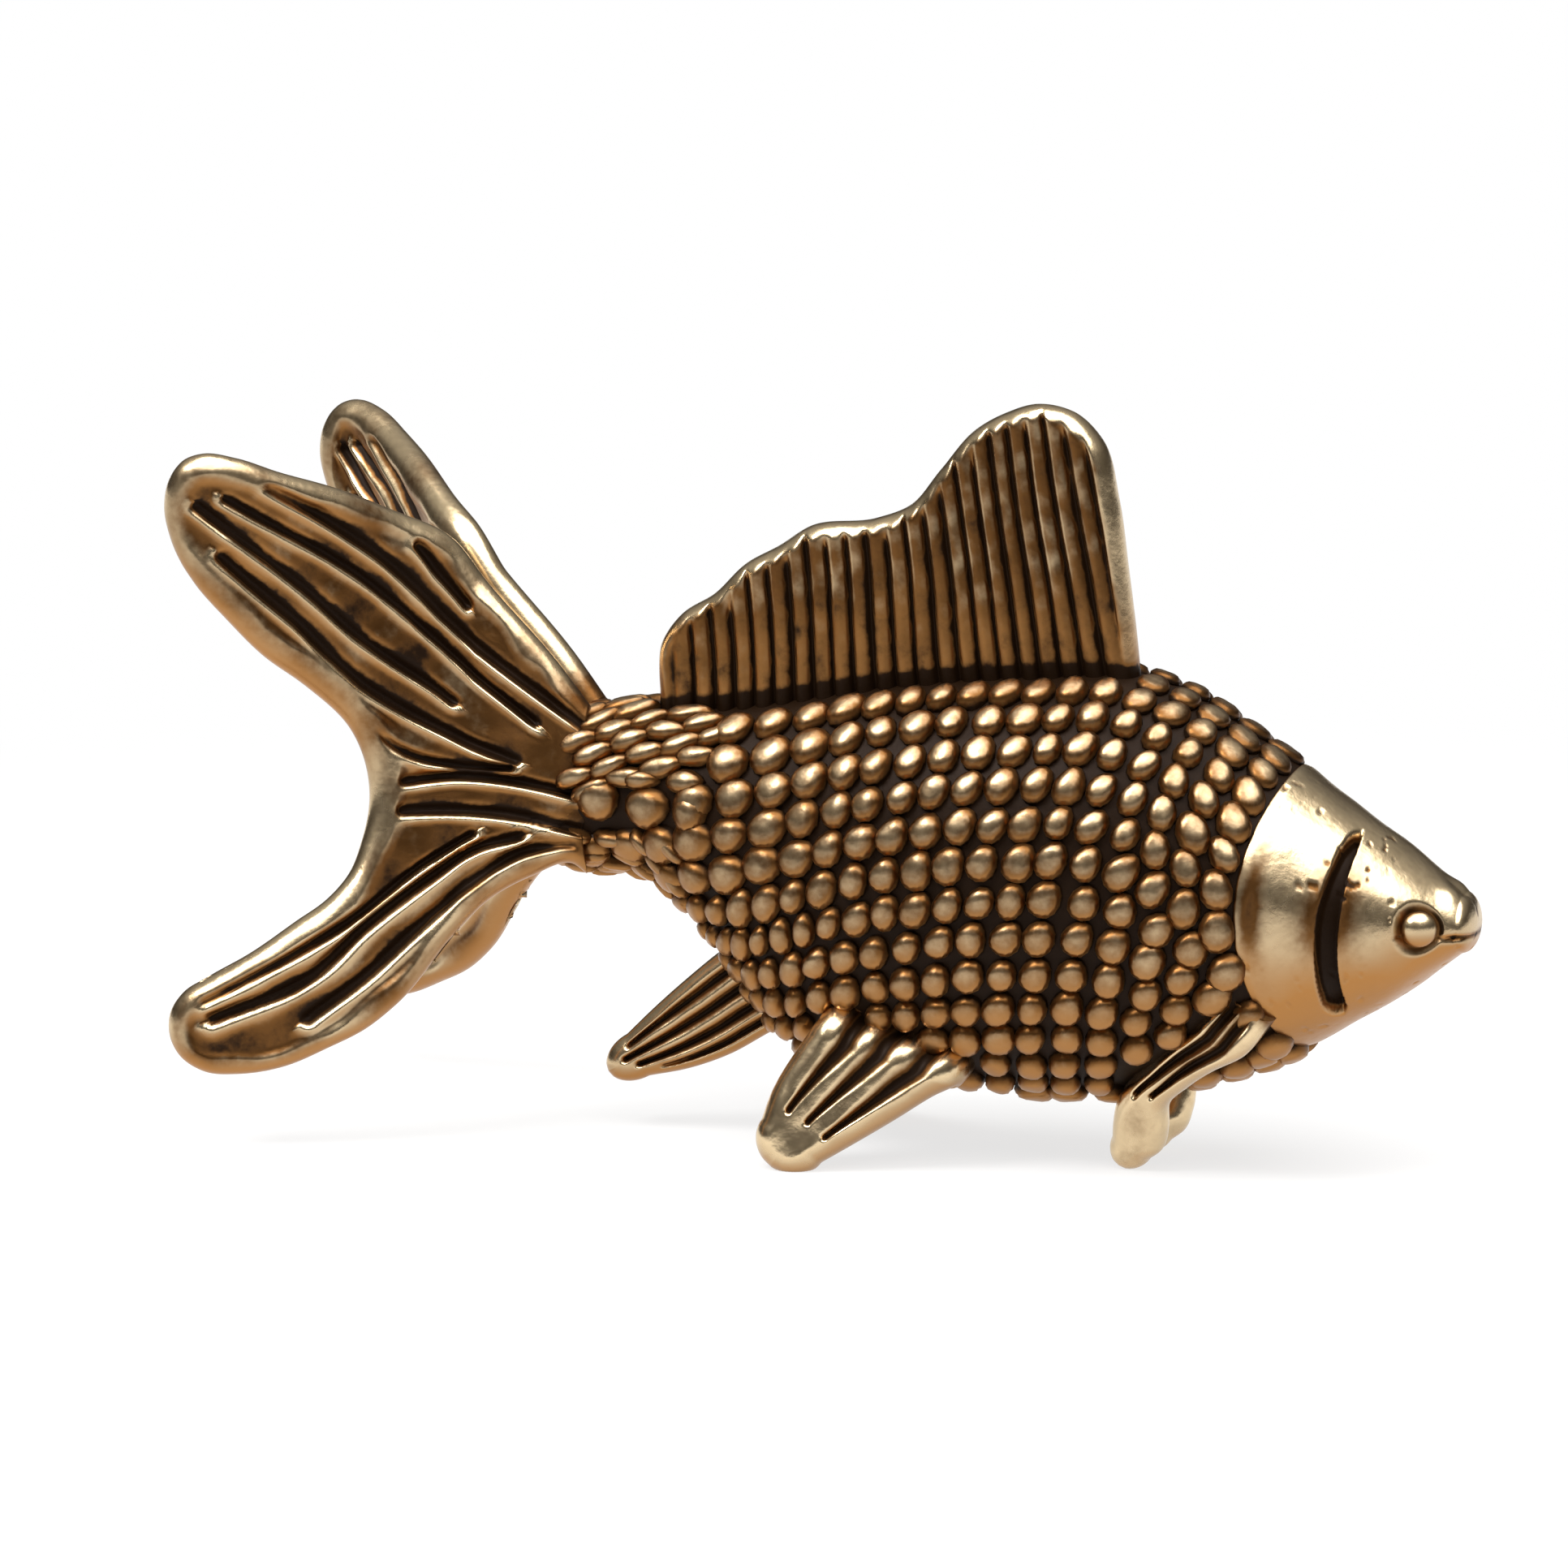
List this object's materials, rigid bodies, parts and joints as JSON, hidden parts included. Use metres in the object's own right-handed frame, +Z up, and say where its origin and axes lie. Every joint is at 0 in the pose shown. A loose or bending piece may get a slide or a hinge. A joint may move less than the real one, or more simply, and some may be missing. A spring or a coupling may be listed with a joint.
{
  "type": "fish figurine",
  "caption": "Small cast brass goldfish ornament with a scaled trunk, plain head, tall dorsal fin and spread twin tail; it stands on the flat tips of its paired fins.",
  "frame": {"origin": "on the table under the middle of the fish's bounding box", "axes": "+X to the snout, +Y to the fish's left side, +Z up"},
  "size_m": [0.0479, 0.0186, 0.0282],
  "materials": {
    "brass": "antique brass, polished on the high places, with black-brown patina in the grooves"
  },
  "bodies": {
    "root": {"trunk": "brass", "head": "brass", "eye_right": "brass", "eye_left": "brass", "dorsal_fin": "brass", "tail_fin_right": "brass", "tail_fin_left": "brass", "pectoral_fin_right": "brass", "pectoral_fin_left": "brass", "pelvic_fin_right": "brass", "pelvic_fin_left": "brass", "anal_fin": "brass"}
  },
  "joints": []
}
